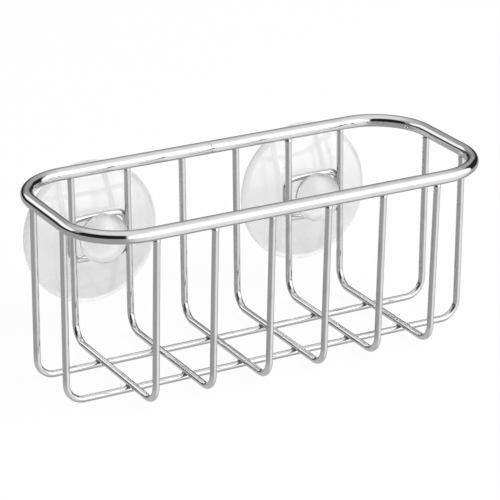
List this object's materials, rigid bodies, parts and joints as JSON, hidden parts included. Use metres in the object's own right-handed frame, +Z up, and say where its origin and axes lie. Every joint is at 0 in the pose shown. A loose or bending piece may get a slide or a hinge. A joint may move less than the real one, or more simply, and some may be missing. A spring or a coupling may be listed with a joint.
{
  "type": "sponge holder",
  "caption": "Open wire basket with a heavy rounded rim, thin U-shaped wires below it and turning suction cups on its back, to hold a sponge on a sink wall.",
  "frame": {"origin": "middle of the underside of the whole holder's box, on the surface that it stands on", "axes": "+X along the basket, +Y towards the wall that the cups hold on to, +Z up"},
  "size_m": [0.146, 0.0708, 0.0614],
  "materials": {
    "chrome_wire": "bright chrome plate on drawn and bent steel wire",
    "clear_pvc": "clear soft PVC, moulded glossy"
  },
  "bodies": {
    "basket": {"rim": "chrome_wire", "cross_wire_1": "chrome_wire", "cross_wire_2": "chrome_wire", "cross_wire_3": "chrome_wire", "cross_wire_4": "chrome_wire", "cross_wire_5": "chrome_wire", "cross_wire_6": "chrome_wire", "long_wire_front": "chrome_wire", "long_wire_back": "chrome_wire", "left_keeper": "chrome_wire", "right_keeper": "chrome_wire"},
    "left_cup": {"left_suction_cup": "clear_pvc"},
    "right_cup": {"right_suction_cup": "clear_pvc"}
  },
  "joints": [
    {"name": "left_cup_turn", "type": "hinge", "parent": "basket", "child": "left_cup", "pos_m": [-0.0394, 0.02704, 0.03575], "axis": [0, 0.9955, -0.0946], "continuous": true},
    {"name": "right_cup_turn", "type": "hinge", "parent": "basket", "child": "right_cup", "pos_m": [0.0394, 0.02704, 0.03575], "axis": [0, 0.9955, -0.0946], "continuous": true}
  ]
}
